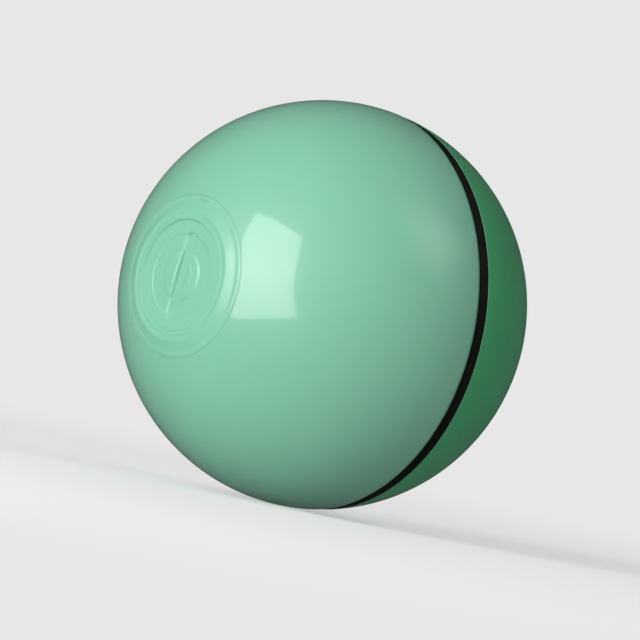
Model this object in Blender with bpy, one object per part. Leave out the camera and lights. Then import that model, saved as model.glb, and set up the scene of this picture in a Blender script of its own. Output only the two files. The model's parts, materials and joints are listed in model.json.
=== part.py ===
"""Self rolling cat ball, in metres, +Z up.

The ball's spin axis lies along X. The pole cover is at -X and the cap at +X. The origin is the point
where the ball touches the floor, right under its centre. A weighted core hangs inside on the spin
axis, and its motor turns the shell around it.
"""

import math

import bmesh
import bpy
from mathutils import Matrix

# Ball
ball_radius = 0.0320
shell_wall = 0.0020
gap = 0.0003
core_gap = 0.0015
lip_round = 0.0004

# Groove between the main shell and the cap, measured from the ball's centre
groove_centre_x = 0.0043
groove_width = 0.0020
ring_sink = 0.0004
ring_crown = 0.0002
ring_overhang = 0.0020

# Closure between the cap and the main shell
mouth_wall = 0.0037
neck_wall = 0.0016
neck_length = 0.0065
closure_flange_thickness = 0.0020
closure_seat_width = 0.0014
collar_overlap = 0.0008
closure_lug_height = 0.0008
closure_lug_width = 0.0012
closure_lug_inset = 0.0008
closure_lead = 0.0090

# Both quarter turn closures: how their lugs and ramps lie round the axis
lug_count = 3
lug_span = math.radians(30)
ramp_span = math.radians(80)

# Pole cover
cover_flange_thickness = 0.0012
cover_plate_thickness = 0.0015
cover_disc_radius = 0.0092
cover_disc_sink = 0.0004
cover_step_width = 0.0002
cover_line_radius = 0.0068
cover_line_width = 0.0004
cover_line_depth = 0.0002
cover_boss_radius = 0.0034
cover_boss_height = 0.0003
cover_slot_length = 0.0126
cover_slot_width = 0.0018
cover_slot_depth = 0.0009
cover_slot_tilt = math.radians(9)
cover_index_width = 0.0008
cover_index_depth = 0.0005
cover_neck_radius = 0.0094
cover_neck_wall = 0.0012
cover_neck_length = 0.0047
cover_lug_height = 0.0009
cover_lug_width = 0.0008
cover_lug_inset = 0.0003
cover_lead = 0.0040
cover_seat_width = 0.0022
gasket_thickness = 0.0008

# Hub of the main shell, behind the cover
recess_floor_thickness = 0.0016
cover_collar_depth = 0.0040
bush_lip = 0.0008
bush_wall = 0.0008
bush_length = 0.0026
hub_wall = 0.0037
collar_wall = 0.0012
hub_screw_count = 3
hub_screw_inset = 0.00185
hub_screw_length = 0.0048

# Gears: one module, with the axes' places taken round the spin axis
gear_module = 0.0005
hub_teeth = 52
second_wheel_teeth = 24
second_pinion_teeth = 10
first_wheel_teeth = 26
first_pinion_teeth = 10
motor_pinion_teeth = 9
addendum_share = 0.80
dedendum_share = 1.20
tooth_root_share = 0.68
tooth_tip_share = 0.24
gear_width = 0.0018
hub_gear_width = 0.0030
gear_plane_step = 0.0022
gear_pin_radius = 0.0005
gear_pin_head = 0.0006
gear_spacer_wall = 0.00045
second_gear_angle = math.radians(-130)
first_gear_angle = math.radians(6)
motor_angle = math.radians(-8)

# Core housings
core_wall = 0.0015
core_neck_gap = 0.0010
core_chamfer = 0.0012
stub_radius = 0.0069
stub_wall = 0.0012
stub_reach = 0.0012
washer_thickness = 0.0005
washer_width = 0.0024
plate_thickness = 0.0016
housing_post_radius = 0.0032
housing_post_length = 0.0070
housing_screw_length = 0.0120
housing_screw_angles = (math.radians(90), math.radians(190), math.radians(350))

# Rear axle
axle_radius = 0.0015
axle_length = 0.0083
axle_end_gap = 0.0013
axle_bush_wall = 0.0012
axle_boss_wall = 0.0019
axle_pocket_gap = 0.0010
axle_floor_thickness = 0.0020
axle_boss_length = 0.0099

# Screws
screw_radius = 0.0008
screw_head_radius = 0.0016
screw_head_height = 0.0010
screw_socket_radius = 0.0007
screw_socket_depth = 0.0005
screw_length = 0.0050
screw_bite = 0.0006

# Motor
motor_radius = 0.0060
motor_length = 0.0130
motor_boss_radius = 0.0025
motor_boss_height = 0.0010
motor_shaft_radius = 0.00075
motor_shaft_depth = 0.0100
motor_bell_thickness = 0.0020
motor_bell_inset = 0.0003
terminal_length = 0.0012
terminal_width = 0.0016
terminal_thickness = 0.0004
terminal_offset = 0.0024

# Counterweight
weight_top_z = -0.0080
weight_screw_y = 0.0165
weight_screw_z = -0.0110

# Battery and its tray
battery_length = 0.0200
battery_width = 0.0250
battery_thickness = 0.0050
battery_round = 0.0010
battery_axle_gap = 0.0010
tray_wall = 0.0012
tray_depth = 0.0088

# Circuit board, on two posts of the plate
board_bottom_z = 0.0015
board_thickness = 0.0012
board_post_height = 0.0020
board_post_radius = 0.0020
board_post_y = 0.0115
board_post_z = 0.0062
chip_size = 0.0060
chip_height = 0.0012
chip_y = 0.0036
chip_z = 0.0112
capacitor_radius = 0.0022
capacitor_height = 0.0060
capacitor_y = -0.0040
capacitor_z = 0.0120
sensor_radius = 0.0016
sensor_height = 0.0040
sensor_y = 0.0066
sensor_z = 0.0046

# Service group, behind the core's front face
face_thickness = 0.0012
service_board_thickness = 0.0010
socket_width = 0.0090
socket_height = 0.0032
socket_length = 0.0073
socket_wall = 0.0003
socket_mouth_depth = 0.0060
socket_tongue_width = 0.0060
socket_tongue_thickness = 0.0007
socket_tongue_length = 0.0045
socket_recess = 0.0001
socket_z = -0.0016
button_radius = 0.0015
button_proud = 0.0008
button_flange = 0.0004
button_flange_thickness = 0.0005
button_stem_radius = 0.0008
button_stem_length = 0.0018
button_travel = 0.0005
button_z = 0.0030
switch_size = 0.0030
pipe_radius = 0.0007
pipe_y = 0.0036
pipe_z = 0.0026
led_size = 0.0014
led_height = 0.0010

# Leads
lead_radius = 0.00035
cable_radius = 0.0010
cable_hole_radius = 0.0020
cable_z = 0.0045
cable_start_z = 0.0022
lead_side_y = 0.0020
lead_bow = 0.0050
lead_drop = 0.0025
lead_board_inset = 0.0020
motor_lead_rise = 0.0015

# How finely round pieces are cut
outer_segments = 48
inner_segments = 28
small_segments = 14
screw_segments = 8
outer_arc_steps = 10
inner_arc_steps = 4
ramp_steps = 10
lug_steps = 4
round_end_steps = 4
corner_steps = 2
chord_steps = 14
lead_steps = 3
lead_bevel_steps = 2
sharp_angle = math.radians(30)

# How far a cutter runs past the face it cuts
overrun = 0.0010


def sphere_x(radius, off_axis):
    """How far from a sphere's centre, along X, its surface lies at this distance from the axis."""
    return math.sqrt(radius * radius - off_axis * off_axis)


# The closure's radii, worked out from the main shell's mouth inward
mouth_x = groove_centre_x - groove_width / 2
collar_radius = sphere_x(ball_radius, mouth_x) - mouth_wall
closure_lug_radius = collar_radius - gap
neck_radius = closure_lug_radius - closure_lug_height
ramp_radius = neck_radius + gap

# The pole cover's radii, worked out from its neck outward
cover_lug_radius = cover_neck_radius + cover_lug_height
cover_ramp_radius = cover_neck_radius + gap
cover_collar_radius = cover_lug_radius + gap
recess_radius = cover_collar_radius + cover_seat_width
cover_radius = recess_radius - gap

# Places along X, worked out from the pole inward
core_sphere = ball_radius - shell_wall - core_gap
core_radius = neck_radius - neck_wall - core_neck_gap
core_inside = core_radius - core_wall
cover_rim_x = -sphere_x(ball_radius, cover_radius)
cover_seat_x = cover_rim_x + cover_flange_thickness
cover_disc_x = -sphere_x(ball_radius, cover_disc_radius) + cover_disc_sink
recess_floor_x = cover_seat_x + gasket_thickness + 2 * gap
hub_flange_x = recess_floor_x + recess_floor_thickness
cover_collar_end_x = recess_floor_x + cover_collar_depth
bush_inner = stub_radius + gap
bush_outer = bush_inner + bush_wall
hub_bore = bush_outer + gap
hub_radius = hub_bore + hub_wall
hub_step_x = cover_collar_end_x + bush_lip
bush_front_x = hub_step_x + gap
hub_end_x = bush_front_x + bush_length
hub_gear_front_x = hub_end_x + gap
hub_gear_back_x = hub_gear_front_x + hub_gear_width
hub_screw_head_x = hub_gear_back_x - screw_head_height
front_washer_x = hub_gear_back_x + gap
core_front_x = front_washer_x + washer_thickness + gap
gear_chamber_x = core_front_x + core_wall
second_wheel_x = gear_chamber_x + gap
first_wheel_x = second_wheel_x + gear_plane_step
plate_front_x = first_wheel_x + gear_width + gap
plate_back_x = plate_front_x + plate_thickness
motor_front_x = plate_back_x + gap
motor_back_x = motor_front_x + motor_length
bell_back_x = motor_back_x + gap + motor_bell_thickness
service_face_x = cover_collar_end_x - stub_reach
socket_front_x = service_face_x + socket_recess
service_board_x = socket_front_x + socket_length + gap
service_board_back_x = service_board_x + service_board_thickness
board_front_x = plate_back_x + board_post_height + gap
board_back_x = board_front_x + board_thickness
stub_inside = stub_radius - stub_wall

# Places along X, worked out from the groove toward the cap
cap_lip_x = groove_centre_x + groove_width / 2
neck_tip_x = mouth_x - neck_length
collar_start_x = neck_tip_x - collar_overlap
ring_outer = sphere_x(ball_radius, groove_centre_x) - ring_sink
ring_inner = ring_outer - ring_overhang
closure_flange_radius = ring_inner - gap
cap_rebate_radius = closure_flange_radius + gap
cap_rebate_x = cap_lip_x + closure_flange_thickness + gap
cap_seat_radius = cap_rebate_radius - closure_seat_width
axle_boss_x = ball_radius - shell_wall - axle_boss_length
axle_washer_x = axle_boss_x - gap - washer_thickness
axle_floor_x = axle_washer_x - gap
axle_front_x = axle_floor_x - axle_floor_thickness - gap
axle_back_x = axle_front_x + axle_length
axle_bush_inner = axle_radius + gap
axle_bush_outer = axle_bush_inner + axle_bush_wall
axle_boss_bore = axle_bush_outer + gap
axle_boss_radius = axle_boss_bore + axle_boss_wall
axle_bore_end_x = axle_back_x + axle_end_gap
axle_pocket_radius = axle_boss_radius + axle_pocket_gap
battery_back_x = axle_front_x - battery_axle_gap
battery_front_x = battery_back_x - battery_thickness
tray_back_x = battery_back_x + gap
tray_front_x = battery_front_x - gap - tray_wall
tray_radius = sphere_x(core_sphere - core_wall, tray_back_x) - gap
pocket_bottom_z = -sphere_x(tray_radius - tray_wall, battery_width / 2 + gap)
battery_bottom_z = pocket_bottom_z + gap
tray_top_z = pocket_bottom_z + tray_depth


def polar(radius, angle):
    return radius * math.cos(angle), radius * math.sin(angle)


def moved(place, step):
    return place[0] + step[0], place[1] + step[1]


def pitch_radius(teeth):
    return gear_module * teeth / 2


def tip_radius(teeth):
    return pitch_radius(teeth) + addendum_share * gear_module


# Gear axes, as (y, z) from the spin axis
second_place = polar(pitch_radius(hub_teeth + second_pinion_teeth), second_gear_angle)
first_place = moved(
    second_place, polar(pitch_radius(second_wheel_teeth + first_pinion_teeth), first_gear_angle)
)
motor_place = moved(
    first_place, polar(pitch_radius(first_wheel_teeth + motor_pinion_teeth), motor_angle)
)
motor_lead_offset = terminal_offset + terminal_thickness / 2 + gap + lead_radius
gear_bore = gear_pin_radius + gap
hub_screw_circle = hub_bore + hub_screw_inset
housing_screw_circle = core_inside + gap - housing_post_radius
board_radius = housing_screw_circle - housing_post_radius - gap


def meshed_phase(angle, teeth, phase, other_teeth):
    """The angle of a tooth on the other gear, which lies at this angle from a gear in this phase."""
    tooth_offset = (angle - phase) * teeth / other_teeth
    return angle + math.pi + math.pi / other_teeth + tooth_offset


second_pinion_phase = meshed_phase(second_gear_angle, hub_teeth, 0, second_pinion_teeth)
first_pinion_phase = meshed_phase(first_gear_angle, second_wheel_teeth, 0, first_pinion_teeth)
motor_pinion_phase = meshed_phase(motor_angle, first_wheel_teeth, 0, motor_pinion_teeth)


def clear_scene():
    for obj in list(bpy.data.objects):
        bpy.data.objects.remove(obj, do_unlink=True)
    for mesh in list(bpy.data.meshes):
        bpy.data.meshes.remove(mesh)


def make_material(name, colour, roughness, metallic=0.0):
    material = bpy.data.materials.new(name)
    material.use_nodes = True
    shader = material.node_tree.nodes["Principled BSDF"]
    shader.inputs["Base Color"].default_value = (*colour, 1.0)
    shader.inputs["Roughness"].default_value = roughness
    shader.inputs["Metallic"].default_value = metallic
    material.diffuse_color = (*colour, 1.0)
    return material


def empty_at(name, place, parent=None):
    empty = bpy.data.objects.new(name, None)
    bpy.context.scene.collection.objects.link(empty)
    empty.parent = parent
    empty.location = place
    return empty


def add_object(name, bm, material, parent, place=(0, 0, 0)):
    """Turns the bmesh into an object, smooth but for its sharp edges."""
    bmesh.ops.recalc_face_normals(bm, faces=bm.faces)
    mesh = bpy.data.meshes.new(name)
    bm.to_mesh(mesh)
    bm.free()
    mesh.shade_smooth()
    mesh.set_sharp_from_angle(angle=sharp_angle)
    if material:
        mesh.materials.append(material)
    obj = bpy.data.objects.new(name, mesh)
    bpy.context.scene.collection.objects.link(obj)
    obj.parent = parent
    obj.location = place
    return obj


def helper(name, bm, parent, place=(0, 0, 0)):
    """A shape that only cuts or joins another, so it isn't rendered."""
    obj = add_object(name, bm, None, parent, place)
    obj.hide_render = True
    obj.display_type = "WIRE"
    return obj


def boolean(obj, other, operation):
    modifier = obj.modifiers.new(other.name, "BOOLEAN")
    modifier.operation = operation
    modifier.object = other
    modifier.solver = "EXACT"


def cut(obj, name, bm, parent, place=(0, 0, 0)):
    boolean(obj, helper(name, bm, parent, place), "DIFFERENCE")


def join(obj, name, bm, parent, place=(0, 0, 0)):
    boolean(obj, helper(name, bm, parent, place), "UNION")


def turned(outline, segments):
    """A closed outline of (x, radius) points, turned about the X axis."""
    bm = bmesh.new()
    rings = []
    for x, radius in outline:
        ring = []
        for step in range(segments if radius else 0):
            y, z = polar(radius, math.tau * step / segments)
            ring.append(bm.verts.new((x, y, z)))
        rings.append(ring)
    ends = outline[1:] + outline[:1]
    for ring, following, start, end in zip(rings, rings[1:] + rings[:1], outline, ends):
        if ring and following:
            bridge(bm, ring, following)
        elif ring or following:
            close_end(bm, ring or following, start[0], end[0], start if following else end)
    return bm


def bridge(bm, ring, following):
    for step, corner in enumerate(ring):
        turn = (step + 1) % len(ring)
        bm.faces.new((corner, ring[turn], following[turn], following[step]))


def close_end(bm, ring, from_x, to_x, tip):
    """A flat end is one face. A pointed one is a fan round its tip on the axis."""
    if from_x == to_x:
        bm.faces.new(ring)
        return
    point = bm.verts.new((tip[0], 0, 0))
    for step, corner in enumerate(ring):
        bm.faces.new((corner, ring[(step + 1) % len(ring)], point))


def drum(radius, from_x, to_x, segments=small_segments):
    return turned(((from_x, 0), (from_x, radius), (to_x, radius), (to_x, 0)), segments)


def tube(inner, outer, from_x, to_x, segments):
    return turned(((from_x, inner), (from_x, outer), (to_x, outer), (to_x, inner)), segments)


def extruded(outline, from_x, to_x):
    """A prism along X with an outline of (y, z) points."""
    bm = bmesh.new()
    near = [bm.verts.new((from_x, y, z)) for y, z in outline]
    far = [bm.verts.new((to_x, y, z)) for y, z in outline]
    bm.faces.new(near)
    bm.faces.new(far)
    for step, corner in enumerate(near):
        turn = (step + 1) % len(near)
        bm.faces.new((corner, near[turn], far[turn], far[step]))
    return bm


def block(low, high):
    """A box between two corners."""
    bm = bmesh.new()
    size = [top - bottom for bottom, top in zip(low, high)]
    middle = [(top + bottom) / 2 for bottom, top in zip(low, high)]
    placing = Matrix.Translation(middle) @ Matrix.Diagonal((*size, 1))
    bmesh.ops.create_cube(bm, size=1, matrix=placing)
    return bm


def stadium(width, height):
    """The outline of a bar with round ends, its width along Y."""
    radius = height / 2
    middle = width / 2 - radius
    points = []
    for side in (0, 1):
        for step in range(round_end_steps + 1):
            angle = math.pi * (side + step / round_end_steps) - math.pi / 2
            y, z = polar(radius, angle)
            points.append((y + (middle, -middle)[side], z))
    return points


def round_box(width, height, corner):
    """The outline of a rectangle with round corners."""
    points = []
    for quarter in range(4):
        turn = math.pi / 2 * quarter
        middle_y = (width / 2 - corner) * (1, -1, -1, 1)[quarter]
        middle_z = (height / 2 - corner) * (1, 1, -1, -1)[quarter]
        for step in range(corner_steps + 1):
            y, z = polar(corner, turn + math.pi / 2 * step / corner_steps)
            points.append((middle_y + y, middle_z + z))
    return points


def segment_outline(radius, chord_z, above):
    """The outline of the part of a disc above or below a level chord."""
    reach = math.asin(chord_z / radius)
    start, end = (reach, math.pi - reach) if above else (math.pi - reach, math.tau + reach)
    step_angle = (end - start) / chord_steps
    return [polar(radius, start + step_angle * step) for step in range(chord_steps + 1)]


def sphere_arc(radius, from_r, to_r, steps, side):
    """Outline points on a sphere between two distances from the axis, on the side of X given."""
    start, end = math.asin(from_r / radius), math.asin(to_r / radius)
    points = []
    for step in range(steps + 1):
        angle = start + (end - start) * step / steps
        points.append((side * radius * math.cos(angle), radius * math.sin(angle)))
    return points


def helical_blocks(inner, outer, from_x, width, span, lead, steps):
    """Equal blocks round the axis, each of which climbs along X as a screw thread does.

    They start half a facet round, so that no end lies on an edge of the round wall they stand on.
    """
    bm = bmesh.new()
    half_facet = math.pi / outer_segments
    for index in range(lug_count):
        columns = []
        for step in range(steps + 1):
            turn = span * step / steps
            angle = half_facet + turn + math.tau * index / lug_count
            x = from_x + lead * turn / math.tau
            corners = ((x, inner), (x, outer), (x + width, outer), (x + width, inner))
            columns.append([bm.verts.new((cx, *polar(r, angle))) for cx, r in corners])
        bm.faces.new(columns[0])
        bm.faces.new(columns[-1])
        for column, following in zip(columns, columns[1:]):
            for corner in range(4):
                turn = (corner + 1) % 4
                edge = (column[corner], column[turn])
                bm.faces.new((*edge, following[turn], following[corner]))
    return bm


def gear_outline(teeth, phase):
    pitch_angle = math.tau / teeth
    tip = tip_radius(teeth)
    root = pitch_radius(teeth) - dedendum_share * gear_module
    points = []
    for tooth in range(teeth):
        middle = phase + pitch_angle * tooth
        half_root = tooth_root_share * pitch_angle / 2
        half_tip = tooth_tip_share * pitch_angle / 2
        points.append(polar(root, middle - half_root))
        points.append(polar(tip, middle - half_tip))
        points.append(polar(tip, middle + half_tip))
        points.append(polar(root, middle + half_root))
    return points


def screw(name, head_x, into, length, place, parent, material):
    """A screw along X: its head's underside is at head_x, and into is the sign of its way in."""
    top = head_x - into * screw_head_height
    socket = top + into * screw_socket_depth
    outline = (
        (socket, 0),
        (socket, screw_socket_radius),
        (top, screw_socket_radius),
        (top, screw_head_radius),
        (head_x, screw_head_radius),
        (head_x, screw_radius),
        (head_x + into * length, screw_radius),
        (head_x + into * length, 0),
    )
    return add_object(name, turned(outline, screw_segments), material, parent, (0, *place))


def lead(name, points, radius, material, parent):
    """An insulated lead along a smooth curve through these points."""
    path = smooth_path(points)
    curve = bpy.data.curves.new(name, "CURVE")
    curve.dimensions = "3D"
    spline = curve.splines.new("POLY")
    spline.points.add(len(path) - 1)
    for knot, place in zip(spline.points, path):
        knot.co = (*place, 1)
    curve.bevel_depth = radius
    curve.bevel_resolution = lead_bevel_steps
    curve.use_fill_caps = True
    curve.materials.append(material)
    obj = bpy.data.objects.new(name, curve)
    bpy.context.scene.collection.objects.link(obj)
    obj.parent = parent
    return obj


def smooth_path(points):
    """Points read from a smooth curve through the given ones."""
    ends = [points[0]] + list(points) + [points[-1]]
    path = []
    for before, start, end, after in zip(ends, ends[1:], ends[2:], ends[3:]):
        for step in range(lead_steps):
            path.append(blend_point(before, start, end, after, step / lead_steps))
    path.append(points[-1])
    return path


def blend_point(before, start, end, after, share):
    place = []
    for a, b, c, d in zip(before, start, end, after):
        slope_in, slope_out = (c - a) / 2, (d - b) / 2
        square, cube = share**2, share**3
        along = b + share * slope_in
        along += square * (3 * (c - b) - 2 * slope_in - slope_out)
        along += cube * (2 * (b - c) + slope_in + slope_out)
        place.append(along)
    return place


# The main shell and what is fixed to it


def hub_screw_places():
    turns = range(hub_screw_count)
    return [polar(hub_screw_circle, math.tau * turn / hub_screw_count) for turn in turns]


def build_main_shell(ball, pole, plastic):
    inside = ball_radius - shell_wall
    lip_outer = sphere_x(ball_radius, mouth_x - lip_round)
    mouth_outer = sphere_x(ball_radius, mouth_x) - lip_round
    outline = sphere_arc(ball_radius, recess_radius, ball_radius, outer_arc_steps, -1)
    outline += [
        (mouth_x - lip_round, lip_outer),
        (mouth_x, mouth_outer),
        (mouth_x, collar_radius),
        (collar_start_x, collar_radius),
    ]
    collar_step = sphere_x(inside, collar_start_x)
    hub_step = sphere_x(inside, hub_flange_x)
    outline += sphere_arc(inside, collar_step, hub_step, inner_arc_steps, -1)
    outline += [
        (hub_flange_x, cover_collar_radius + collar_wall),
        (hub_step_x, cover_collar_radius + collar_wall),
        (hub_step_x, hub_radius),
        (hub_end_x, hub_radius),
        (hub_end_x, hub_bore),
        (hub_step_x, hub_bore),
        (hub_step_x, bush_inner + gap),
        (cover_collar_end_x, bush_inner + gap),
        (cover_collar_end_x, cover_collar_radius),
        (recess_floor_x, cover_collar_radius),
        (recess_floor_x, recess_radius),
    ]
    shell = add_object("main_shell", turned(outline, outer_segments), plastic, ball)
    lug_x = neck_tip_x + closure_lug_inset
    ramps = helical_blocks(
        ramp_radius,
        collar_radius + overrun,
        lug_x + closure_lug_width + gap,
        closure_lug_width,
        ramp_span,
        closure_lead,
        ramp_steps,
    )
    join(shell, "closure_ramps", ramps, ball)
    cover_lug_x = -(cover_seat_x + cover_neck_length) + cover_lug_inset
    cover_ramps = helical_blocks(
        cover_ramp_radius,
        cover_collar_radius + overrun,
        cover_lug_x + cover_lug_width + gap,
        cover_lug_width,
        ramp_span,
        cover_lead,
        ramp_steps,
    )
    join(shell, "cover_ramps", cover_ramps, pole)
    for index, place in enumerate(hub_screw_places()):
        hole_end_x = hub_screw_head_x - hub_screw_length - gap
        hole = drum(screw_radius + gap, hole_end_x, hub_end_x + overrun, screw_segments)
        cut(shell, f"hub_screw_hole_{index + 1}", hole, ball, (0, *place))


def build_hub_gear(ball, nylon, steel):
    outline = gear_outline(hub_teeth, 0)
    gear = add_object(
        "drive_hub_gear", extruded(outline, hub_gear_front_x, hub_gear_back_x), nylon, ball
    )
    bore = drum(
        bush_inner + gap, hub_gear_front_x - overrun, hub_gear_back_x + overrun, inner_segments
    )
    cut(gear, "hub_gear_bore", bore, ball)
    head_x = hub_screw_head_x
    for index, place in enumerate(hub_screw_places()):
        hole = turned(
            (
                (hub_gear_front_x - overrun, 0),
                (hub_gear_front_x - overrun, screw_radius + gap),
                (head_x - gap, screw_radius + gap),
                (head_x - gap, screw_head_radius + gap),
                (hub_gear_back_x + overrun, screw_head_radius + gap),
                (hub_gear_back_x + overrun, 0),
            ),
            screw_segments,
        )
        cut(gear, f"hub_gear_hole_{index + 1}", hole, ball, (0, *place))
        screw(f"hub_gear_screw_{index + 1}", head_x, -1, hub_screw_length, place, ball, steel)


def build_front_bush(ball, bronze):
    bush = tube(bush_inner, bush_outer, bush_front_x, hub_end_x, inner_segments)
    add_object("front_bush", bush, bronze, ball)


# The cap, and the ring in the groove


def build_cap(cap, plastic, black, bronze):
    inside = ball_radius - shell_wall
    lip_outer = sphere_x(ball_radius, cap_lip_x) - lip_round
    lip_start = sphere_x(ball_radius, cap_lip_x + lip_round)
    outline = [(cap_lip_x, cap_rebate_radius), (cap_lip_x, lip_outer)]
    outline += sphere_arc(ball_radius, lip_start, 0, outer_arc_steps, 1)[:-1]
    outline += [
        (ball_radius, 0),
        (axle_bore_end_x, 0),
        (axle_bore_end_x, axle_boss_bore),
        (axle_boss_x, axle_boss_bore),
        (axle_boss_x, axle_boss_radius),
    ]
    outline += sphere_arc(inside, axle_boss_radius, cap_seat_radius, inner_arc_steps, 1)
    outline += [(cap_rebate_x, cap_seat_radius), (cap_rebate_x, cap_rebate_radius)]
    add_object("cap_shell", turned(outline, outer_segments), plastic, cap)

    ring_face_x = mouth_x + gap
    outline = (
        (neck_tip_x, neck_radius - neck_wall),
        (neck_tip_x, neck_radius),
        (ring_face_x, neck_radius),
        (ring_face_x, closure_flange_radius),
        (cap_rebate_x - gap, closure_flange_radius),
        (cap_rebate_x - gap, neck_radius - neck_wall),
    )
    closure = add_object("closure_ring", turned(outline, outer_segments), black, cap)
    lugs = helical_blocks(
        neck_radius - neck_wall / 2,
        closure_lug_radius,
        neck_tip_x + closure_lug_inset,
        closure_lug_width,
        lug_span,
        closure_lead,
        lug_steps,
    )
    join(closure, "closure_lugs", lugs, cap)
    bush = tube(axle_bush_inner, axle_bush_outer, axle_boss_x, axle_back_x, small_segments)
    add_object("rear_bush", bush, bronze, cap)


def build_traction_ring(carrier, rubber):
    edge = ring_outer - ring_crown
    outline = (
        (mouth_x + gap, ring_inner),
        (mouth_x + gap, edge),
        (groove_centre_x, ring_outer),
        (cap_lip_x - gap, edge),
        (cap_lip_x - gap, ring_inner),
    )
    add_object("traction_ring", turned(outline, outer_segments), rubber, carrier)


# The pole cover, built with its own +X pointing out of the ball


def build_pole_cover(cover, plastic):
    disc, step = cover_disc_radius, cover_step_width
    line_inner = cover_line_radius - cover_line_width / 2
    line_outer = cover_line_radius + cover_line_width / 2
    disc_x = -cover_disc_x
    seat_x = -cover_seat_x
    outline = [
        (disc_x + cover_boss_height, 0),
        (disc_x + cover_boss_height, cover_boss_radius - step),
        (disc_x, cover_boss_radius),
        (disc_x, line_inner),
        (disc_x - cover_line_depth, cover_line_radius),
        (disc_x, line_outer),
        (disc_x, disc - step),
    ]
    outline += sphere_arc(ball_radius, disc, cover_radius, inner_arc_steps // 2, 1)
    outline += [
        (seat_x, cover_radius),
        (seat_x, cover_neck_radius),
        (seat_x - cover_neck_length, cover_neck_radius),
        (seat_x - cover_neck_length, cover_neck_radius - cover_neck_wall),
        (disc_x - cover_plate_thickness, cover_neck_radius - cover_neck_wall),
        (disc_x - cover_plate_thickness, 0),
    ]
    lid = add_object("pole_cover", turned(outline, outer_segments), plastic, cover)
    lugs = helical_blocks(
        cover_neck_radius - cover_neck_wall / 2,
        cover_lug_radius,
        seat_x - cover_neck_length + cover_lug_inset,
        cover_lug_width,
        lug_span,
        cover_lead,
        lug_steps,
    )
    join(lid, "cover_lugs", lugs, cover)
    slot_outline = stadium(cover_slot_length, cover_slot_width)
    slot = extruded(slot_outline, disc_x - cover_slot_depth, disc_x + cover_boss_height + overrun)
    bmesh.ops.rotate(
        slot,
        verts=slot.verts,
        cent=(0, 0, 0),
        matrix=Matrix.Rotation(math.pi / 2 - cover_slot_tilt, 3, "X"),
    )
    cut(lid, "coin_slot", slot, cover)
    index_mark = block(
        (seat_x - overrun, -cover_index_width / 2, cover_radius - cover_index_depth),
        (disc_x + overrun, cover_index_width / 2, cover_radius + overrun),
    )
    cut(lid, "cover_index", index_mark, cover)


def build_cover_gasket(carrier, rubber):
    gasket = tube(
        cover_collar_radius + gap,
        cover_radius - gap,
        -(cover_seat_x + gap + gasket_thickness),
        -(cover_seat_x + gap),
        inner_segments,
    )
    add_object("cover_gasket", gasket, rubber, carrier)


# The core that hangs inside


def housing_screw_places():
    return [polar(housing_screw_circle, angle) for angle in housing_screw_angles]


def build_front_housing(core, plastic, steel):
    chamfer_x = core_front_x + 2 * core_chamfer
    chamfer_radius = core_radius - core_chamfer
    outline = (
        (service_face_x, 0),
        (service_face_x, stub_radius),
        (core_front_x, stub_radius),
        (core_front_x, chamfer_radius),
        (chamfer_x, core_radius),
        (plate_front_x - gap, core_radius),
        (plate_front_x - gap, core_inside),
        (chamfer_x, core_inside),
        (gear_chamber_x, core_inside - core_chamfer / 2),
        (gear_chamber_x, stub_inside),
        (service_face_x + face_thickness, stub_inside),
        (service_face_x + face_thickness, 0),
    )
    housing = add_object("core_front_housing", turned(outline, inner_segments), plastic, core)
    post_end_x = plate_front_x - gap
    sunk_head_x = core_front_x + screw_head_height + gap
    for index, place in enumerate(housing_screw_places()):
        post = drum(housing_post_radius, core_front_x + core_wall / 2, post_end_x)
        join(housing, f"front_post_{index + 1}", post, core, (0, *place))
        hole = turned(
            (
                (core_front_x - overrun, 0),
                (core_front_x - overrun, screw_head_radius + gap),
                (sunk_head_x + gap, screw_head_radius + gap),
                (sunk_head_x + gap, screw_radius + gap),
                (post_end_x + overrun, screw_radius + gap),
                (post_end_x + overrun, 0),
            ),
            screw_segments,
        )
        cut(housing, f"front_post_hole_{index + 1}", hole, core, (0, *place))
        name = f"housing_screw_{index + 1}"
        screw(name, sunk_head_x, 1, housing_screw_length, place, core, steel)
    pinion_hole = drum(
        tip_radius(second_pinion_teeth) + gap, core_front_x - overrun, gear_chamber_x + overrun
    )
    cut(housing, "pinion_window", pinion_hole, core, (0, *second_place))
    pin_hole = drum(gear_bore, gear_chamber_x - core_wall / 2, gear_chamber_x + overrun)
    cut(housing, "first_pin_hole", pin_hole, core, (0, *first_place))
    face_back_x = service_face_x + face_thickness + overrun
    socket_hole = extruded(
        stadium(socket_width + 2 * gap, socket_height + 2 * gap),
        service_face_x - overrun,
        face_back_x,
    )
    cut(housing, "socket_window", socket_hole, core, (0, 0, socket_z))
    button_hole = drum(button_radius + gap, service_face_x - overrun, face_back_x)
    cut(housing, "button_hole", button_hole, core, (0, 0, button_z))
    pipe_hole = drum(pipe_radius + gap, service_face_x - overrun, face_back_x, screw_segments)
    cut(housing, "pipe_hole", pipe_hole, core, (0, pipe_y, pipe_z))


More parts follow.
